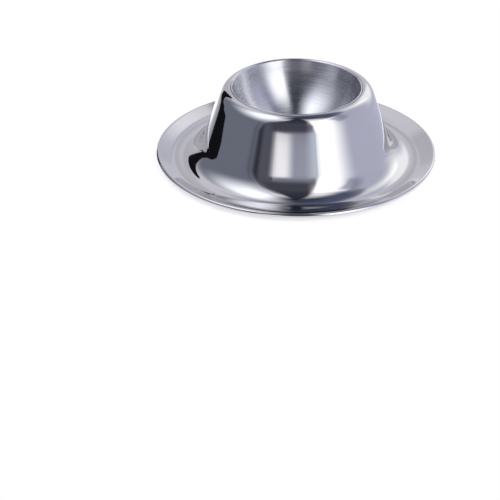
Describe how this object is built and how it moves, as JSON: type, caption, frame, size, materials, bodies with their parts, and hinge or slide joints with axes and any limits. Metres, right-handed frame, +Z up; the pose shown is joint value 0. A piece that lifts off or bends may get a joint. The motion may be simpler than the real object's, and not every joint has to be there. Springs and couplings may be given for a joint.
{
  "type": "egg cup",
  "caption": "Low polished steel egg cup: a round satin bowl set into a flared skirt that spreads into a shallow drip saucer with a hemmed brim.",
  "frame": {"origin": "on the table, at the centre of the foot ring", "axes": "+Z up along the axis of the cup; the cup is round, so +X and +Y may be any two level directions"},
  "size_m": [0.086, 0.086, 0.0235],
  "materials": {
    "polished_steel": "mirror polished stainless steel",
    "satin_steel": "stainless steel brushed around the axis"
  },
  "bodies": {
    "root": {"outer_shell": "polished_steel", "egg_bowl": "satin_steel"}
  },
  "joints": []
}
